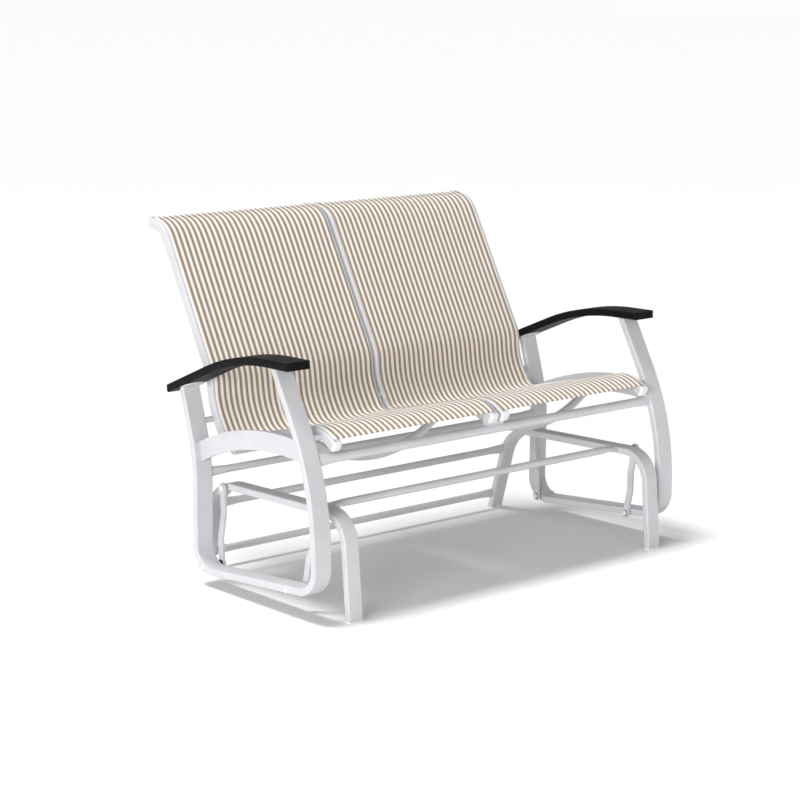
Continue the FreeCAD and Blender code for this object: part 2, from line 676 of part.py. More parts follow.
def rear_seat_bar():
    """Straight tube under the bends of all four rails, with rounded closed ends."""
    radius = SPREADER_DIAMETER / 2.0
    bar = rod(-REAR_SEAT_BAR_HALF, REAR_SEAT_BAR_HALF, REAR_SEAT_BAR_AT, radius)
    rims = [edge for edge in bar.Edges
            if edge.Closed and abs(abs(edge.CenterOfMass.x) - REAR_SEAT_BAR_HALF) < 0.01]
    bar = bar.makeFillet(radius * 0.6, rims)
    reach = REAR_SEAT_BAR_HALF - radius
    return bar.cut(rod(-reach, reach, REAR_SEAT_BAR_AT, radius - BAR_WALL))


def ring(x_range, centre, radius, height):
    """An upright ring whose section is a rectangle."""
    outer = rod(x_range[0], x_range[1], centre, radius + height / 2.0)
    return outer.cut(rod(x_range[0], x_range[1], centre, radius - height / 2.0))


def side_brace():
    """Arched rectangular tube between the two uprights of an arm frame."""
    outer_x = BRACE_X + BRACE_THICKNESS
    outside = ring((BRACE_X, outer_x), BRACE_CENTRE, BRACE_RADIUS, BRACE_HEIGHT)
    inside = ring((BRACE_X + BRACE_WALL, outer_x - BRACE_WALL), BRACE_CENTRE,
                  BRACE_RADIUS, BRACE_HEIGHT - 2.0 * BRACE_WALL)
    span = block((0.0, BLOCK), (-400.0, 130.0), (200.0, BLOCK))
    pieces = outside.cut(inside).common(span).cut(arm_frame_outline()).Solids
    return max(pieces, key=lambda solid: solid.Volume)


def rail_spacer(place):
    """Round spacer between the outer sling rail and an upright."""
    rail_x = OUTER_RAIL_X + RAIL_SIZE
    spacer = rod(rail_x, ARM_TUBE_INNER_X, place, RAIL_SPACER_RADIUS)
    return spacer.cut(rod(rail_x, ARM_TUBE_INNER_X, place, RAIL_BOLT_RADIUS + RAIL_BOLT_FIT))


def centre_spacer():
    """Round spacer between the two centre rails."""
    spacer = rod(-CENTRE_RAIL_X, CENTRE_RAIL_X, CENTRE_SPACER_AT, RAIL_SPACER_RADIUS)
    return spacer.cut(rod(-CENTRE_RAIL_X, CENTRE_RAIL_X, CENTRE_SPACER_AT,
                          RAIL_BOLT_RADIUS + RAIL_BOLT_FIT))


def rail_bolt(place):
    """Bolt from inside the outer rail, through the spacer, into the upright."""
    head = domed(OUTER_RAIL_X, OUTER_RAIL_X - RAIL_BOLT_HEAD_HEIGHT, place,
                 RAIL_BOLT_HEAD_RADIUS)
    end = ARM_TUBE_INNER_X + TUBE_WALL + RAIL_NUT_LENGTH
    return head.fuse(rod(OUTER_RAIL_X, end, place, RAIL_BOLT_RADIUS))


def centre_bolt():
    """Bolt through both centre rails and the spacer between them."""
    face_x = CENTRE_RAIL_X + RAIL_SIZE
    heads = [
        domed(face_x, face_x + RAIL_BOLT_HEAD_HEIGHT, CENTRE_SPACER_AT, RAIL_BOLT_HEAD_RADIUS),
        domed(-face_x, -face_x - RAIL_BOLT_HEAD_HEIGHT, CENTRE_SPACER_AT, RAIL_BOLT_HEAD_RADIUS),
    ]
    return joined([rod(-face_x, face_x, CENTRE_SPACER_AT, RAIL_BOLT_RADIUS)] + heads)


def rail_nut(place):
    """Threaded sleeve inside the upright for a rail bolt."""
    start = ARM_TUBE_INNER_X + TUBE_WALL
    sleeve = rod(start, start + RAIL_NUT_LENGTH, place, RAIL_NUT_RADIUS)
    return sleeve.cut(rod(start, start + RAIL_NUT_LENGTH, place, RAIL_BOLT_RADIUS))


def centre_saddle():
    """Block between the front rail and the two centre sling rails above it."""
    y, z = FRONT_RAIL_AT
    body = block((-SADDLE_HALF_WIDTH, SADDLE_HALF_WIDTH),
                 (y - SADDLE_HALF_DEPTH, y + SADDLE_HALF_DEPTH), (z, z + SADDLE_TRIM_HEIGHT))
    wide_x = (-SADDLE_HALF_WIDTH - DRILL, SADDLE_HALF_WIDTH + DRILL)
    body = body.cut(rod(*wide_x, FRONT_RAIL_AT, FRONT_RAIL_DIAMETER / 2.0))
    below = plate(*wide_x, RAIL_SIZE, RAIL_SIZE + SADDLE_TRIM_HEIGHT, 1.0)
    below_rails = swept(below, RAIL_ROUTE[3:])
    pieces = body.common(below_rails).Solids
    return max(pieces, key=lambda solid: solid.Volume)


def armrest():
    """Moulded arm with rounded edges, level in front and sloping down behind."""
    face = plate(ARMREST_INNER_X, ARMREST_OUTER_X, -ARMREST_THICKNESS, 0.0, ARMREST_CORNER)
    slab = swept(face, ARMREST_ROUTE)
    plan = plate(ARMREST_INNER_X, ARMREST_OUTER_X, ARMREST_ROUTE[0][0], ARMREST_ROUTE[-1][0],
                 ARMREST_PLAN_CORNER)
    plan = plan.extrude(FreeCAD.Vector(0.0, 0.0, BLOCK))
    return slab.common(plan)


def rear_arm_place():
    """The place and slope of the armrest's underside over the rear upright."""
    way = heading(ARMREST_ROUTE[1], ARMREST_ROUTE[2])
    start = step(ARMREST_ROUTE[1], way, 0.0)
    along = (ARM_PLATE_AT_Y - start[0]) / math.cos(way)
    on_top = step(start, way, along)
    return step(on_top, way - math.pi / 2.0, ARMREST_THICKNESS), way


def arm_plate():
    """Oval plate welded on the rear upright, under the armrest."""
    place, way = rear_arm_place()
    middle_x = (ARM_TUBE_INNER_X + ARM_TUBE_OUTER_X) / 2.0
    oval = Part.Ellipse(FreeCAD.Vector(middle_x, 0.0, 0.0), ARM_PLATE_HALF_WIDTH,
                        ARM_PLATE_HALF_LENGTH)
    face = Part.Face(Part.Wire([oval.toShape()]))
    plate_solid = face.extrude(FreeCAD.Vector(0.0, 0.0, -ARM_PLATE_THICKNESS))
    plate_solid.rotate(FreeCAD.Vector(), FreeCAD.Vector(1.0, 0.0, 0.0), math.degrees(way))
    plate_solid.translate(point(0.0, place))
    return plate_solid.cut(arm_screw())


def arm_screw():
    """Screw through the oval plate into the armrest, ahead of the upright."""
    place, way = rear_arm_place()
    middle_x = (ARM_TUBE_INNER_X + ARM_TUBE_OUTER_X) / 2.0
    at = step(step(place, way, -ARM_SCREW_AHEAD), way - math.pi / 2.0, ARM_PLATE_THICKNESS)
    up = FreeCAD.Vector(0.0, -math.sin(way), math.cos(way))
    base = point(middle_x, at)
    head = Part.makeCylinder(ARM_SCREW_HEAD_RADIUS, ARM_SCREW_HEAD_HEIGHT,
                             base - up * ARM_SCREW_HEAD_HEIGHT, up)
    shank = Part.makeCylinder(ARM_SCREW_RADIUS, ARM_SCREW_REACH, base, up)
    return head.fuse(shank)


def save_base():
    """The fixed base and what is fastened to it."""
    save_pair("base_frame", base_frame())
    save("foot_plugs", both_sides(foot_plugs()))
    save("base_front_bar", [base_front_bar()])
    save("base_rear_upper_bar", [flared_bar(BASE_TUBE_INNER_X, BASE_UPPER_BAR_AT, BAR_DIAMETER)])
    save("base_rear_lower_bar", [flared_bar(BASE_TUBE_INNER_X, BASE_LOWER_BAR_AT, BAR_DIAMETER)])
    save("front_bar_screws", both_sides([tab_screw()]))
    tops = (REAR_TOP_PIVOT, FRONT_TOP_PIVOT)
    save("pivot_inserts", both_sides([pivot_insert(place) for place in tops]))
    save("upper_pivot_bolts", both_sides([upper_pivot_bolt(place) for place in tops]))


def save_links():
    """The four links and the sleeves in their eyes."""
    fitted = PIVOT_BOLT_RADIUS + PIVOT_FIT
    loose = PIVOT_BOLT_RADIUS + LOOSE_PIVOT_PLAY
    save_pair("rear_link", link(REAR_TOP_PIVOT, REAR_LOW_PIVOT))
    save_pair("front_link", link(FRONT_TOP_PIVOT, FRONT_LOW_PIVOT))
    save("rear_link_bushings", both_sides([
        bushing(REAR_TOP_PIVOT, LINK_TOP_INNER_X, False, fitted),
        bushing(REAR_LOW_PIVOT, LINK_LOW_INNER_X, True, fitted),
    ]))
    save("front_link_bushings", both_sides([
        bushing(FRONT_TOP_PIVOT, LINK_TOP_INNER_X, False, fitted),
        bushing(FRONT_LOW_PIVOT, LINK_LOW_INNER_X, True, loose),
    ]))


def save_seat_frame():
    """Arm frames, braces, bars and the bolts of the lower pivots."""
    save_pair("arm_frame", arm_frame())
    save_pair("side_brace", side_brace())
    save_pair("armrest", armrest().cut(arm_screw()))
    save_pair("armrest_plate", arm_plate())
    save("armrest_screws", both_sides([arm_screw()]))
    save("seat_front_rail", [flared_bar(ARM_TUBE_INNER_X, FRONT_RAIL_AT, FRONT_RAIL_DIAMETER)])
    save("seat_rear_rail", [flared_bar(ARM_TUBE_INNER_X, REAR_RAIL_AT, BAR_DIAMETER)])
    lows = (REAR_LOW_PIVOT, FRONT_LOW_PIVOT)
    save("lower_pivot_bolts", both_sides([lower_pivot_bolt(place) for place in lows]))
    save("lower_pivot_nuts", both_sides([lower_pivot_nut(place) for place in lows]))


def save_slings():
    """Sling rails, their caps, spreaders and fasteners, and the two slings."""
    outer_slot = OUTER_RAIL_X + RAIL_SIZE - SLOT_FROM_EDGE
    spacers = (REAR_SPACER_AT, FRONT_SPACER_AT)
    save_pair("outer_rail", sling_rail(OUTER_RAIL_X, outer_slot, spacers))
    save_pair("centre_rail", sling_rail(
        CENTRE_RAIL_X, CENTRE_RAIL_X + SLOT_FROM_EDGE, (CENTRE_SPACER_AT,)))
    save("rail_end_caps", both_sides(rail_caps(OUTER_RAIL_X) + rail_caps(CENTRE_RAIL_X)))
    save_pair("sling", sling())
    save_pair("front_spreader", front_spreader())
    save_pair("back_spreader", back_spreader())
    save("rear_seat_bar", [rear_seat_bar()])
    save("rail_spacers", both_sides([rail_spacer(place) for place in spacers]))
    save("rail_bolts", both_sides([rail_bolt(place) for place in spacers]))
    save("rail_nuts", both_sides([rail_nut(place) for place in spacers]))
    save("centre_spacer", [centre_spacer()])
    save("centre_bolt", [centre_bolt()])
    save("centre_saddle", [centre_saddle()])


save_base()
save_links()
save_seat_frame()
save_slings()
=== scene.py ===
import math

import bmesh
import bpy
from mathutils import Matrix, Vector


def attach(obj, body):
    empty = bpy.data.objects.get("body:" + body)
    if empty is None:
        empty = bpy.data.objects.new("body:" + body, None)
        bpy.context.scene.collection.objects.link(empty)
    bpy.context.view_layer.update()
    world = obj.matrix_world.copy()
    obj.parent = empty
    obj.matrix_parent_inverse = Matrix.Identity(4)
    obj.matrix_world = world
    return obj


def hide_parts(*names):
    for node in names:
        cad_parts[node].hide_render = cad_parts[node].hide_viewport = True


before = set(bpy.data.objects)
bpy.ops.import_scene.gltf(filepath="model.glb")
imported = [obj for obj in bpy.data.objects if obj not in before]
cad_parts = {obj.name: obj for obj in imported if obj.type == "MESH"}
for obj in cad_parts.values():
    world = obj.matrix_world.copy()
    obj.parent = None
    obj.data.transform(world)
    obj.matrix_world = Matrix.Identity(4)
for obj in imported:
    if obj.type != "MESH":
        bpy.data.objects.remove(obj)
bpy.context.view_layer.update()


# Base: two inverted U tubes of white powder-coated aluminium on plastic foot plugs, held
# apart by three round cross tubes with flattened ends. Two are welded on, and the front one
# has a small tab at each end with a steel screw.

class Level:
    """A number that varies over a surface. Python operators on it add Math nodes."""

    def __init__(self, finish, socket):
        self.finish = finish
        self.socket = socket

    def joined(self, operation, first, second):
        return self.finish.node("ShaderNodeMath", {"operation": operation}, {0: first, 1: second})

    def __add__(self, other):
        return self.joined("ADD", self, other)

    def __radd__(self, other):
        return self.joined("ADD", other, self)

    def __sub__(self, other):
        return self.joined("SUBTRACT", self, other)

    def __rsub__(self, other):
        return self.joined("SUBTRACT", other, self)

    def __mul__(self, other):
        return self.joined("MULTIPLY", self, other)

    def __rmul__(self, other):
        return self.joined("MULTIPLY", other, self)

    def __gt__(self, other):
        return self.joined("GREATER_THAN", self, other)

    def __lt__(self, other):
        return self.joined("LESS_THAN", self, other)

    def __mod__(self, other):
        return self.joined("FLOORED_MODULO", self, other)

    def __abs__(self):
        return self.finish.node("ShaderNodeMath", {"operation": "ABSOLUTE"}, {0: self})

    def sine(self):
        return self.finish.node("ShaderNodeMath", {"operation": "SINE"}, {0: self})

    def stepped(self, low, high):
        """0 below low, 1 above high, and a smooth rise between them."""
        settings = {"interpolation_type": "SMOOTHSTEP", "clamp": True}
        return self.finish.node("ShaderNodeMapRange", settings, {0: self, 1: low, 2: high})


class Finish:
    """One material, made node by node."""

    # The Mix node has sockets of the same names for each type: these are the colours' places.
    FIRST_COLOUR = 6
    SECOND_COLOUR = 7
    MIXED_COLOUR = 2

    def __init__(self, name):
        self.material = bpy.data.materials.new(name)
        self.material.use_nodes = True
        self.tree = self.material.node_tree
        self.tree.nodes.clear()

    def node(self, kind, settings, sockets, output=0):
        """Adds a node: its settings first, then a value or a link for each of its sockets."""
        made = self.tree.nodes.new(kind)
        for name, value in settings.items():
            setattr(made, name, value)
        for name, value in sockets.items():
            if isinstance(value, Level):
                self.tree.links.new(value.socket, made.inputs[name])
            else:
                made.inputs[name].default_value = value
        return Level(self, made.outputs[output]) if made.outputs else made

    def place(self):
        """Where a point lies on the piece, in metres of the rest pose."""
        return self.node("ShaderNodeTexCoord", {}, {}, "Object")

    def grain(self, size, detail):
        """Soft random variation whose blotches are about size metres across."""
        sockets = {"Vector": self.place(), "Scale": 1.0 / size, "Detail": detail}
        return self.node("ShaderNodeTexNoise", {}, sockets)

    def mixed(self, share, first, second):
        """One colour turning into another."""
        sockets = {"Factor": share, self.FIRST_COLOUR: first, self.SECOND_COLOUR: second}
        return self.node("ShaderNodeMix", {"data_type": "RGBA"}, sockets, self.MIXED_COLOUR)

    def relief(self, height, depth, under=None):
        """A bump whose full height is depth metres."""
        sockets = {"Height": height, "Distance": depth, "Strength": 1.0}
        if under:
            sockets["Normal"] = under
        return self.node("ShaderNodeBump", {}, sockets)

    def surface(self, sockets):
        """Ends the material with its shader."""
        shader = self.node("ShaderNodeBsdfPrincipled", {}, sockets)
        self.node("ShaderNodeOutputMaterial", {}, {"Surface": shader})
        return self.material


def powder_coat():
    finish = Finish("white_powder_coat")
    peel = finish.grain(size=0.0016, detail=1.0)
    pebble = finish.grain(size=0.00035, detail=1.0)
    cloud = finish.grain(size=0.09, detail=3.0)
    white = (0.60, 0.595, 0.62, 1.0)
    warm_white = (0.56, 0.555, 0.575, 1.0)
    orange_peel = finish.relief(peel, depth=0.00006)
    return finish.surface({
        "Base Color": finish.mixed(cloud.stepped(0.3, 0.75), white, warm_white),
        "Roughness": 0.36 + 0.14 * peel,
        "Specular IOR Level": 0.5,
        "Normal": finish.relief(pebble, depth=0.00003, under=orange_peel),
    })


def moulded_white():
    finish = Finish("moulded_white_plastic")
    fine = finish.grain(size=0.0005, detail=2.0)
    wide = finish.grain(size=0.012, detail=2.0)
    white = (0.79, 0.79, 0.80, 1.0)
    dull_white = (0.73, 0.73, 0.75, 1.0)
    return finish.surface({
        "Base Color": finish.mixed(wide, white, dull_white),
        "Roughness": 0.42 + 0.1 * fine,
        "Normal": finish.relief(fine, depth=0.00003),
    })


def plated_steel():
    finish = Finish("plated_steel")
    fine = finish.grain(size=0.0004, detail=2.0)
    stain = finish.grain(size=0.006, detail=3.0)
    bright = (0.72, 0.72, 0.73, 1.0)
    dull = (0.60, 0.60, 0.62, 1.0)
    return finish.surface({
        "Base Color": finish.mixed(stain, bright, dull),
        "Metallic": 1.0,
        "Roughness": 0.28 + 0.18 * fine,
        "Normal": finish.relief(fine, depth=0.00002),
    })


def dress(names, material):
    """Gives CAD nodes their finish."""
    for name in names:
        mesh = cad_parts[name].data
        mesh.materials.clear()
        mesh.materials.append(material)


white_coat = powder_coat()
white_plastic = moulded_white()
steel = plated_steel()
dress(["base_frame_left", "base_frame_right", "base_front_bar", "base_rear_upper_bar",
       "base_rear_lower_bar"], white_coat)
dress(["foot_plugs"], white_plastic)
dress(["front_bar_screws"], steel)


# Links: four flat white bars, jogged outward, that hang on the base by bolts with
# round caps and turn on black flanged sleeves. Their lower bolts go through the arm frames.

def black_sleeve():
    finish = Finish("black_nylon")
    fine = finish.grain(size=0.0007, detail=2.0)
    black = (0.022, 0.022, 0.024, 1.0)
    dull_black = (0.035, 0.035, 0.037, 1.0)
    return finish.surface({
        "Base Color": finish.mixed(fine, black, dull_black),
        "Roughness": 0.45 + 0.15 * fine,
        "Normal": finish.relief(fine, depth=0.00004),
    })


dress(["rear_link_left", "rear_link_right", "front_link_left", "front_link_right"], white_coat)
dress(["rear_link_bushings", "front_link_bushings"], black_sleeve())
dress(["upper_pivot_bolts", "lower_pivot_bolts", "lower_pivot_nuts"], white_plastic)
dress(["pivot_inserts"], steel)


# Arm frames: each a looped rectangular tube with an arched brace welded between its
# uprights and an oval plate for the armrest, joined to the other by a front and a rear
# cross tube. All are powder-coated.

dress(["arm_frame_left", "arm_frame_right", "side_brace_left", "side_brace_right",
       "seat_front_rail", "seat_rear_rail", "armrest_plate_left", "armrest_plate_right"],
      white_coat)


# Sling rails: four bent aluminium extrusions, 28 mm square with rounded corners and a
# slot in front for the sling's edge, held by spacers, a saddle and a straight bar below.

dress(["outer_rail_left", "outer_rail_right", "centre_rail_left", "centre_rail_right",
       "rail_spacers", "centre_spacer", "centre_saddle", "rear_seat_bar",
       "back_spreader_left", "back_spreader_right"], white_coat)
dress(["rail_bolts", "rail_nuts", "centre_bolt"], steel)


# Front spreaders: a bowed round tube under the front of each seat, its two ends pressed
# flat and wide where they are screwed to the inner sides of the rails. Powder-coated.

SPREADER_Y = -0.200
SPREADER_LOW = 0.347
SPREADER_BEND = 0.330
SPREADER_SLOPE = math.radians(33.0)
SPREADER_RADIUS = 0.011
SPREADER_ENDS = (0.033, 0.517)
PRESSED_LENGTH = 0.085
PRESSED_HALF_WIDE = 0.018
PRESSED_HALF_THICK = 0.0048
SPREADER_STEPS = 110
SPREADER_SIDES = 40
END_TOLERANCE = 0.0001
SHARP_EDGE = math.radians(40.0)


def spreader_line():
    """Centre points (x, z) and slopes from one rail to the other, for the right seat."""
    middle = sum(SPREADER_ENDS) / 2.0
    half = (SPREADER_ENDS[1] - SPREADER_ENDS[0]) / 2.0
    bend_half = SPREADER_BEND * math.sin(SPREADER_SLOPE)
    bend_rise = SPREADER_BEND * (1.0 - math.cos(SPREADER_SLOPE))
    line = []
    for part in range(SPREADER_STEPS + 1):
        x = -half + 2.0 * half * part / SPREADER_STEPS
        if abs(x) <= bend_half:
            slope = math.asin(x / SPREADER_BEND)
            z = SPREADER_LOW + SPREADER_BEND * (1.0 - math.cos(slope))
        else:
            slope = math.copysign(SPREADER_SLOPE, x)
            z = SPREADER_LOW + bend_rise + (abs(x) - bend_half) * math.tan(SPREADER_SLOPE)
        line.append((middle + x, z, slope))
    return line


def ring_skin(rings):
    """Faces between rings of equal counts, in order, and a face over each end."""
    verts = [corner for ring in rings for corner in ring]
    count = len(rings[0])
    faces = []
    for row in range(len(rings) - 1):
        first = row * count
        for column in range(count):
            following = (column + 1) % count
            faces.append((first + column, first + following,
                          first + count + following, first + count + column))
    faces.append(tuple(reversed(range(count))))
    faces.append(tuple(range((len(rings) - 1) * count, len(rings) * count)))
    return verts, faces


def smooth_mesh(name, verts, faces):
    """A mesh with outward faces, smooth but for its sharp edges."""
    mesh = bpy.data.meshes.new(name)
    mesh.from_pydata(verts, [], faces)
    mesh.validate()
    build = bmesh.new()
    build.from_mesh(mesh)
    bmesh.ops.recalc_face_normals(build, faces=build.faces)
    build.to_mesh(mesh)
    build.free()
    mesh.polygons.foreach_set("use_smooth", [True] * len(mesh.polygons))
    mesh.set_sharp_from_angle(angle=SHARP_EDGE)
    return mesh


def placed(name, mesh, body, material):
    """A piece in the scene that rides on a body."""
    piece = bpy.data.objects.new(name, mesh)
    mesh.materials.clear()
    mesh.materials.append(material)
    bpy.context.scene.collection.objects.link(piece)
    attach(piece, body)
    return piece


def spreader_mesh(name, side):
    """One bowed tube. Its section turns from round to flat along the pressed ends."""
    rings = []
    for x, z, slope in spreader_line():
        from_end = min(x - SPREADER_ENDS[0], SPREADER_ENDS[1] - x) / math.cos(SPREADER_SLOPE)
        pressed = 1.0 - min(from_end / PRESSED_LENGTH, 1.0)
        pressed = pressed * pressed * (3.0 - 2.0 * pressed)
        wide = SPREADER_RADIUS + (PRESSED_HALF_WIDE - SPREADER_RADIUS) * pressed
        thin = SPREADER_RADIUS + (PRESSED_HALF_THICK - SPREADER_RADIUS) * pressed
        at_end = from_end < END_TOLERANCE
        ring = []
        for part in range(SPREADER_SIDES):
            angle = 2.0 * math.pi * part / SPREADER_SIDES
            rise = thin * math.sin(angle)
            shift = 0.0 if at_end else -rise * math.sin(slope)
            lift = rise / math.cos(slope) if at_end else rise * math.cos(slope)
            ring.append((side * (x + shift), SPREADER_Y + wide * math.cos(angle), z + lift))
        rings.append(ring)
    return smooth_mesh(name, *ring_skin(rings))


for side_name, side in (("left", -1), ("right", 1)):
    bow_name = "front_bow_" + side_name
    bow = placed(bow_name, spreader_mesh(bow_name, side), "seat", white_coat)
    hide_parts("front_spreader_" + side_name)


# Slings: a taut sheet of vinyl-coated mesh for each seat, with tan and white stripes along
# its length. A cord in each side edge slides in the rail's slot, and both ends are folded
# over and stitched.

# Corners (y, z) of the rail's front surface from the top to the front, each with the
# radius of its bend.
RAIL_CORNERS = [
    (0.4227, 0.9423, 0.0),
    (0.3509, 0.9290, 0.080),
    (0.1410, 0.5416, 0.106),
    (0.1410, 0.4720, 0.150),
    (0.0904, 0.3887, 0.030),
    (-0.3250, 0.4820, 0.110),
    (-0.3835, 0.4470, 0.0),
]
INNER_SLOT = 0.015
OUTER_SLOT = 0.535
SLING_WIDTH = OUTER_SLOT - INNER_SLOT
TOP_SETBACK = 0.015
FRONT_SETBACK = 0.0105
LINE_SPACING = 0.006
LEAST_SPACING = 0.0005

# The sheet, and its side edges that turn down into the slots.
SHEET_THICKNESS = 0.0012
SHEET_LIFT = SHEET_THICKNESS / 2.0 + 0.0001
SHEET_COLUMNS = 120
TUCK_DEPTH = 0.0036
SLOT_LIP = 0.0008
EDGE_ROUNDING = 0.0004
EDGE_FLAT = 0.002

# Midway between the rails the sheet bends more softly, and hangs lower near the seat's rear.
EASE_REACH = 0.075
EASE_LEAST = 0.002
EDGE_PULL = 2.2
SAG_DEPTH = 0.016
SAG_FROM_REAR = 0.080
SAG_REACH = 0.250

# The fold over each end of the sheet.
HEM_WIDTH = 0.016
HEM_INSET = 0.0012
HEM_CLOTH = 0.0006
HEM_HALF = SHEET_THICKNESS / 2.0 + 0.0007
HEM_FOLD = 0.0015
HEM_FOLD_SHOULDER = 0.0011
HEM_COLUMNS = 60
HEM_ROWS = 8

# The row of stitches, from the sling's end. The hem's back has a length far from it.
SEAM_FROM_END = HEM_WIDTH * 0.7
SEAM_HALF = 0.0004
SEAM_EDGE = 0.0007
FAR_FROM_SEAM = 0.5
STITCH_PITCH = 0.0034
STITCH_LENGTH = 0.0026

# The stripes, counted from the inner slot, and the yarns.
STRIPE_PITCH = 0.0175
STRIPE_WIDTH = 0.0084
FIRST_STRIPE = 0.0017
STRIPE_BLUR = 0.0003
YARNS_PER_PITCH = 12.0
YARN_STRETCH = 1.05


def stretch(start, end):
    """Even points on a straight run, without its start."""
    steps = max(1, math.ceil((end - start).length / LINE_SPACING))
    return [start.lerp(end, part / steps) for part in range(1, steps + 1)]


def rail_points():
    """Points (y, z) along the rail's front surface, from the top to the front."""
    start = rail_corners[0] + (rail_corners[1] - rail_corners[0]).normalized() * TOP_SETBACK
    end = rail_corners[-1] + (rail_corners[-2] - rail_corners[-1]).normalized() * FRONT_SETBACK
    points = [start]
    for index in range(1, len(rail_corners) - 1):
        corner = rail_corners[index]
        way_in = (corner - rail_corners[index - 1]).normalized()
        way_out = (rail_corners[index + 1] - corner).normalized()
        turn = way_in.angle_signed(way_out)
        radius = RAIL_CORNERS[index][2]
        reach = radius * math.tan(abs(turn) / 2.0)
        first = corner - way_in * reach
        last = corner + way_out * reach
        points += stretch(points[-1], first)
        inward = (way_out - way_in).normalized()
        centre = corner + inward * (radius / math.cos(turn / 2.0))
        steps = max(4, math.ceil(radius * abs(turn) / (LINE_SPACING * 0.5)))
        spoke = first - centre
        for part in range(1, steps + 1):
            points.append(centre + Matrix.Rotation(-turn * part / steps, 2) @ spoke)
        points[-1] = last
    return points + stretch(points[-1], end)


def even_points(points):
    """Drops points that lie on each other."""
    kept = [points[0]]
    for point in points[1:]:
        if (point - kept[-1]).length > LEAST_SPACING:
            kept.append(point)
    return kept


def lengths_along(points):
    """How far along the line each point lies."""
    total = 0.0
    lengths = [0.0]
    for before, after in zip(points, points[1:]):
        total += (after - before).length
        lengths.append(total)
    return lengths


def outward_sides(points):
    """The direction (y, z) away from the rails at each point."""
    sides = []
    for index in range(len(points)):
        before = points[max(index - 1, 0)]
        after = points[min(index + 1, len(points) - 1)]
        way = (after - before).normalized()
        sides.append(Vector((way.y, -way.x)))
    return sides


def eased(points, lengths):
    """The line that the middle of a taut sheet takes: bends are rounder than the rails'."""
    result = []
    for place, here in zip(points, lengths):
        reach = min(EASE_REACH, here, lengths[-1] - here)
        if reach < EASE_LEAST:
            result.append(place)
            continue
        total = Vector((0.0, 0.0))
        weights = 0.0
        for point, length in zip(points, lengths):
            offset = abs(length - here) / reach
            if offset < 1.0:
                weight = (1.0 - offset * offset) ** 2
                total += point * weight
                weights += weight
        result.append(total / weights)
    return result


rail_corners = [Vector(corner[:2]) for corner in RAIL_CORNERS]
edge_line = even_points(rail_points())
edge_lengths = lengths_along(edge_line)
edge_sides = outward_sides(edge_line)
sling_length = edge_lengths[-1]
middle_line = eased(edge_line, edge_lengths)

# The seat begins at the line's lowest point.
seat_rear = min(zip(edge_line, edge_lengths), key=lambda pair: pair[0].y)[1]


def pulled(x):
    """0 on a rail and 1 midway between the rails, where the sheet takes its own line."""
    share = min(x, SLING_WIDTH - x) / (SLING_WIDTH / 2.0)
    return 1.0 - (1.0 - min(share, 1.0)) ** EDGE_PULL


def sag(x, length):
    """How far the sheet hangs below the rails near the seat's rear."""
    offset = (length - seat_rear - SAG_FROM_REAR) / SAG_REACH
    deepest = SAG_DEPTH * max(0.0, 1.0 - offset * offset) ** 2
    return deepest * (1.0 - abs(2.0 * x / SLING_WIDTH - 1.0) ** 3)


def along_line(line, length):
    """A point and its outward side a length down a line, also just past its ends."""
    index = 0
    while index < len(edge_lengths) - 2 and edge_lengths[index + 1] < length:
        index += 1
    run = edge_lengths[index + 1] - edge_lengths[index]
    share = (length - edge_lengths[index]) / run
    place = line[index] + (line[index + 1] - line[index]) * share
    turned = min(max(share, 0.0), 1.0)
    return place, edge_sides[index].lerp(edge_sides[index + 1], turned).normalized()


def cloth_mesh(name, verts, maps, count, flipped):
    """A sheet from rows of count points each, with a width and a length in its map."""
    faces = []
    for row in range(len(verts) // count - 1):
        for column in range(count - 1):
            corner = row * count + column
            faces.append((corner, corner + 1, corner + count + 1, corner + count))
    if flipped:
        faces = [tuple(reversed(face)) for face in faces]
    mesh = bpy.data.meshes.new(name)
    mesh.from_pydata(verts, [], faces)
    layer = mesh.uv_layers.new(name="cut")
    for loop in mesh.loops:
        layer.data[loop.index].uv = maps[loop.vertex_index]
    mesh.polygons.foreach_set("use_smooth", [True] * len(mesh.polygons))
    return mesh


def sheet_mesh(name, side):
    """The sling of one seat, with its side edges tucked into the rails' slots."""
    near_edge = [(0.0, -TUCK_DEPTH), (0.0, -SLOT_LIP), (EDGE_ROUNDING, SHEET_LIFT * 0.8)]
    flat = SLING_WIDTH - 2.0 * EDGE_FLAT
    across = list(near_edge)
    across += [(EDGE_FLAT + flat * part / SHEET_COLUMNS, SHEET_LIFT)
               for part in range(SHEET_COLUMNS + 1)]
    across += [(SLING_WIDTH - x, height) for x, height in reversed(near_edge)]
    verts = []
    maps = []
    for row, length in enumerate(edge_lengths):
        for x, height in across:
            place = edge_line[row].lerp(middle_line[row], pulled(x))
            place += edge_sides[row] * (height - sag(x, length))
            verts.append((side * (INNER_SLOT + x), place.x, place.y))
            maps.append((x, length))
    return cloth_mesh(name, verts, maps, len(across), side > 0)


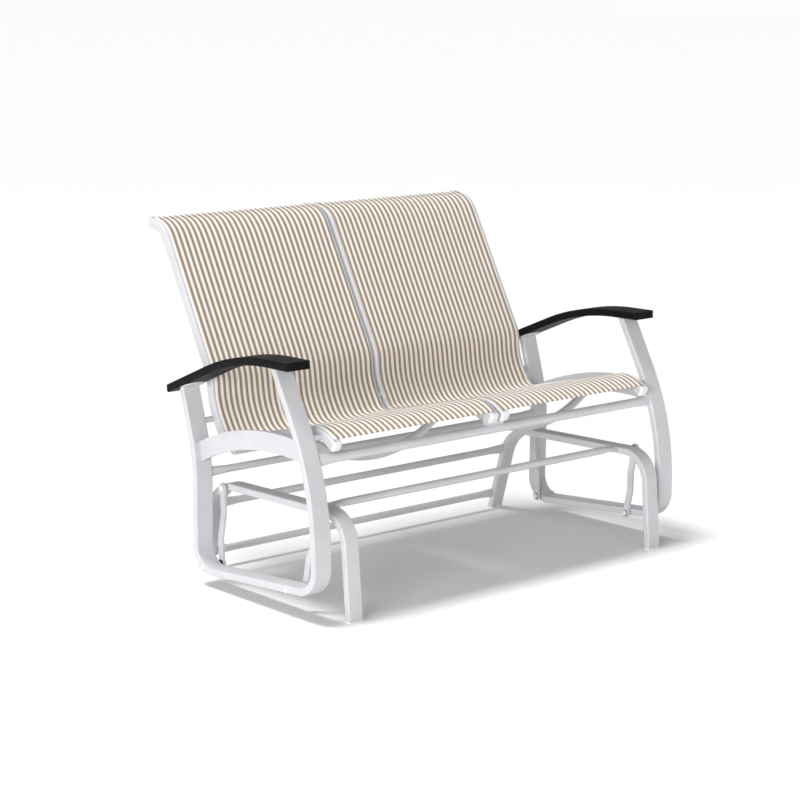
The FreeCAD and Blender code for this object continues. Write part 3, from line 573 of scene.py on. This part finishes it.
def hem_mesh(name, side, far_end):
    """The fold at one end of a sling, front and back."""
    end = sling_length if far_end else 0.0
    sign = -1.0 if far_end else 1.0
    profile = [(HEM_WIDTH - HEM_WIDTH * part / HEM_ROWS, HEM_HALF)
               for part in range(HEM_ROWS + 1)]
    profile += [(-HEM_FOLD_SHOULDER, HEM_HALF * 0.75), (-HEM_FOLD, 0.0),
                (-HEM_FOLD_SHOULDER, -HEM_HALF * 0.75)]
    profile += [(HEM_WIDTH * part / HEM_ROWS, -HEM_HALF) for part in range(HEM_ROWS + 1)]
    verts = []
    maps = []
    for column in range(HEM_COLUMNS + 1):
        x = HEM_INSET + (SLING_WIDTH - 2.0 * HEM_INSET) * column / HEM_COLUMNS
        for from_end, height in profile:
            edge, outward = along_line(edge_line, end + sign * from_end)
            middle, _ = along_line(middle_line, end + sign * from_end)
            place = edge.lerp(middle, pulled(x)) + outward * (height + SHEET_LIFT)
            verts.append((side * (INNER_SLOT + x), place.x, place.y))
            maps.append((x, HEM_WIDTH - from_end if height > 0.0 else FAR_FROM_SEAM))
    return cloth_mesh(name, verts, maps, len(profile), False)


def thickened(piece, thickness):
    """Turns a sheet into a thin solid."""
    solid = piece.modifiers.new("thickness", "SOLIDIFY")
    solid.thickness = thickness
    solid.offset = 0.0
    depsgraph = bpy.context.evaluated_depsgraph_get()
    mesh = bpy.data.meshes.new_from_object(piece.evaluated_get(depsgraph))
    piece.modifiers.clear()
    piece.data = mesh


def striped_mesh_cloth(name, seam_at):
    """Vinyl-coated yarns, woven in tan and white stripes. A row of stitches crosses them at
    a length in the sheet's map."""
    finish = Finish(name)
    cut = finish.node("ShaderNodeUVMap", {"uv_map": "cut"}, {})
    across = finish.node("ShaderNodeSeparateXYZ", {}, {0: cut}, "X")
    along = finish.node("ShaderNodeSeparateXYZ", {}, {0: cut}, "Y")
    half_pitch = STRIPE_PITCH / 2.0
    half_stripe = STRIPE_WIDTH / 2.0
    from_stripe = abs((across - FIRST_STRIPE + half_pitch) % STRIPE_PITCH - half_pitch)
    tan_share = 1.0 - from_stripe.stepped(half_stripe - STRIPE_BLUR, half_stripe + STRIPE_BLUR)
    yarn = STRIPE_PITCH / YARNS_PER_PITCH
    warp_wave = (across * (math.pi / yarn)).sine()
    weft_wave = (along * (math.pi / (yarn * YARN_STRETCH))).sine()
    warp = abs(warp_wave)
    weft = abs(weft_wave)
    over = (warp_wave * weft_wave) > 0.0
    weave = over * warp + (1.0 - over) * weft
    # Where warp and weft both thin out, the gaps between the yarns get painted shade: a dark
    # colour mixed in halfway.
    shaded_gaps = (1.0 - warp.stepped(0.05, 0.4)) * (1.0 - weft.stepped(0.05, 0.4))
    streak = finish.grain(size=0.004, detail=2.0)
    fade = finish.grain(size=0.16, detail=3.0)
    tan = finish.mixed(streak, (0.385, 0.272, 0.160, 1.0), (0.330, 0.231, 0.135, 1.0))
    white = finish.mixed(fade, (0.88, 0.88, 0.88, 1.0), (0.84, 0.84, 0.835, 1.0))
    thread = (0.80, 0.80, 0.79, 1.0)
    # Painted shade for the gaps between the yarns.
    painted_gap_shade = (0.16, 0.15, 0.14, 1.0)
    seam = 1.0 - abs(along - seam_at).stepped(SEAM_HALF, SEAM_EDGE)
    stitch = seam * ((across % STITCH_PITCH) < STITCH_LENGTH)
    sewn = finish.mixed(0.5 * stitch, finish.mixed(tan_share, white, tan), thread)
    return finish.surface({
        "Base Color": finish.mixed(0.5 * shaded_gaps, sewn, painted_gap_shade),
        "Roughness": 0.62 + 0.15 * weave,
        "Specular IOR Level": 0.3,
        "Normal": finish.relief(weave + 1.5 * stitch - 0.7 * seam, depth=0.00022),
    })


sling_cloth = striped_mesh_cloth("striped_sling_mesh", SEAM_FROM_END)
hem_cloth = striped_mesh_cloth("striped_sling_hem", HEM_WIDTH - SEAM_FROM_END)
for side_name, side in (("left", -1), ("right", 1)):
    sling_name = "sling_sheet_" + side_name
    sling = placed(sling_name, sheet_mesh(sling_name, side), "seat", sling_cloth)
    thickened(sling, SHEET_THICKNESS)
    for end_name, far_end in (("top", False), ("front", True)):
        hem_name = "sling_hem_" + end_name + "_" + side_name
        hem = placed(hem_name, hem_mesh(hem_name, side, far_end), "seat", hem_cloth)
        thickened(hem, HEM_CLOTH)
    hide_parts("sling_" + side_name)


# Rail caps: white plastic noses pushed into both ends of every sling rail, square where
# they meet the rail and rounded over in front.

RAIL_HALF = 0.014
OUTER_RAIL_MIDDLE = 0.531
CENTRE_RAIL_MIDDLE = 0.019
CAP_REACH = 0.007
CAP_DRAW = 0.0085
CAP_LIP = 0.0003
CAP_GAP = 0.0001
CAP_NECK_SHARE = 0.94
CAP_CORNER_POWER = 2.0 / 5.6
CAP_STEPS = 10
CAP_SIDES = 48


def cap_mesh(name, x_middle, place, way, inward):
    """A rounded nose on a square with round corners, facing along way."""
    rings = []
    for step in range(-1, CAP_STEPS + 1):
        at_neck = step < 0
        angle = max(step, 0) / CAP_STEPS * math.pi / 2.0
        forward = CAP_GAP if at_neck else CAP_REACH * math.sin(angle)
        half = RAIL_HALF + CAP_LIP - CAP_DRAW * (1.0 - math.cos(angle))
        if at_neck:
            half *= CAP_NECK_SHARE
        ring = []
        for part in range(CAP_SIDES):
            turn = 2.0 * math.pi * part / CAP_SIDES
            across = math.copysign(abs(math.cos(turn)) ** CAP_CORNER_POWER, math.cos(turn)) * half
            depth = math.copysign(abs(math.sin(turn)) ** CAP_CORNER_POWER, math.sin(turn)) * half
            spot = place + way * forward + inward * (RAIL_HALF + depth)
            ring.append((x_middle + across, spot.x, spot.y))
        rings.append(ring)
    return smooth_mesh(name, *ring_skin(rings))


top_way = (rail_corners[0] - rail_corners[1]).normalized()
front_way = (rail_corners[-1] - rail_corners[-2]).normalized()
rail_ends = (("top", rail_corners[0], top_way, Vector((top_way.y, -top_way.x))),
             ("front", rail_corners[-1], front_way, Vector((-front_way.y, front_way.x))))
rail_middles = {"outer_left": -OUTER_RAIL_MIDDLE, "centre_left": -CENTRE_RAIL_MIDDLE,
                "centre_right": CENTRE_RAIL_MIDDLE, "outer_right": OUTER_RAIL_MIDDLE}
for rail_name, x_middle in rail_middles.items():
    for end_name, place, way, inward in rail_ends:
        cap_name = "rail_cap_" + end_name + "_" + rail_name
        cap = placed(cap_name, cap_mesh(cap_name, x_middle, place, way, inward), "seat",
                     white_plastic)
        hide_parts("rail_end_caps")


# Armrests: black moulded polymer, level in front and sloping down behind, with all
# edges rounded and a fine matte grain. Each is screwed on from below.

def black_polymer():
    finish = Finish("black_arm_polymer")
    grit = finish.grain(size=0.0008, detail=3.0)
    wide = finish.grain(size=0.03, detail=2.0)
    black = (0.002, 0.002, 0.0022, 1.0)
    worn_black = (0.0035, 0.0035, 0.004, 1.0)
    return finish.surface({
        "Base Color": finish.mixed(wide, black, worn_black),
        "Roughness": 0.45 + 0.2 * grit,
        "Specular IOR Level": 0.12,
        "Normal": finish.relief(grit, depth=0.00008),
    })


dress(["armrest_left", "armrest_right"], black_polymer())
dress(["armrest_screws"], steel)


# Studio: a pale floor whose far rim hides the horizon, a soft sun almost straight above, a
# large low fill from the left, and a camera at the photograph's place.

FLOOR_REACH = 250.0
RIM_REACH = 600.0
RIM_HEIGHT = 16.0
SUN_TOWARDS = Vector((-0.17, 0.19, 0.96))
SUN_DISTANCE = 6.0
SUN_WIDTH = math.radians(16.0)
SUN_POWER = 2.4
FILL_AT = Vector((-9.6, -5.6, 2.5))
FILL_AIM = Vector((0.0, 0.0, 0.4))
FILL_SIZE = (5.0, 4.0)
FILL_POWER = 860.0
SKY_POWER = 0.36
CAMERA_AT = Vector((-3.4858, -4.2991, 1.4824))
CAMERA_AZIMUTH = math.radians(-38.82)
CAMERA_ELEVATION = math.radians(10.78)
CAMERA_ROLL = math.radians(-0.864)
CAMERA_LENS = 92.44
CAMERA_SENSOR = 36.0
CAMERA_SIGHT = 1200.0


def pale_floor():
    finish = Finish("pale_floor")
    cloud = finish.grain(size=0.8, detail=2.0)
    pale = (0.91, 0.91, 0.91, 1.0)
    less_pale = (0.90, 0.90, 0.90, 1.0)
    return finish.surface({
        "Base Color": finish.mixed(cloud, pale, less_pale),
        "Roughness": 0.9,
        "Specular IOR Level": 0.1,
    })


def aimed(name, lamp, at, towards):
    """A lamp in the scene that shines along a direction."""
    light = bpy.data.objects.new(name, lamp)
    bpy.context.scene.collection.objects.link(light)
    light.location = at
    light.rotation_euler = towards.to_track_quat("-Z", "Y").to_euler()


floor_mesh = bpy.data.meshes.new("floor")
floor_corners = [(x * reach, y * reach, height)
                 for reach, height in ((FLOOR_REACH, 0.0), (RIM_REACH, RIM_HEIGHT))
                 for x, y in ((-1.0, -1.0), (1.0, -1.0), (1.0, 1.0), (-1.0, 1.0))]
floor_faces = [(0, 1, 2, 3)]
floor_faces += [(part, part + 4, (part + 1) % 4 + 4, (part + 1) % 4) for part in range(4)]
floor_mesh.from_pydata(floor_corners, [], floor_faces)
floor_mesh.materials.append(pale_floor())
floor = bpy.data.objects.new("floor", floor_mesh)
bpy.context.scene.collection.objects.link(floor)

sun = bpy.data.lights.new("sun", "SUN")
sun.angle = SUN_WIDTH
sun.energy = SUN_POWER
aimed("sun", sun, SUN_TOWARDS * SUN_DISTANCE, -SUN_TOWARDS)

fill = bpy.data.lights.new("fill", "AREA")
fill.shape = "RECTANGLE"
fill.size, fill.size_y = FILL_SIZE
fill.energy = FILL_POWER
aimed("fill", fill, FILL_AT, FILL_AIM - FILL_AT)

world = bpy.data.worlds.new("studio")
world.use_nodes = True
sky = world.node_tree.nodes["Background"]
sky.inputs["Color"].default_value = (1.0, 1.0, 1.0, 1.0)
sky.inputs["Strength"].default_value = SKY_POWER
bpy.context.scene.world = world
bpy.context.scene.view_settings.view_transform = "Standard"

lens = bpy.data.cameras.new("camera")
lens.lens = CAMERA_LENS
lens.sensor_width = CAMERA_SENSOR
lens.clip_end = CAMERA_SIGHT
camera = bpy.data.objects.new("camera", lens)
bpy.context.scene.collection.objects.link(camera)
camera.matrix_world = (
    Matrix.Translation(CAMERA_AT)
    @ Matrix.Rotation(CAMERA_AZIMUTH, 4, "Z")
    @ Matrix.Rotation(math.pi / 2.0 - CAMERA_ELEVATION, 4, "X")
    @ Matrix.Rotation(CAMERA_ROLL, 4, "Z"))
bpy.context.scene.camera = camera
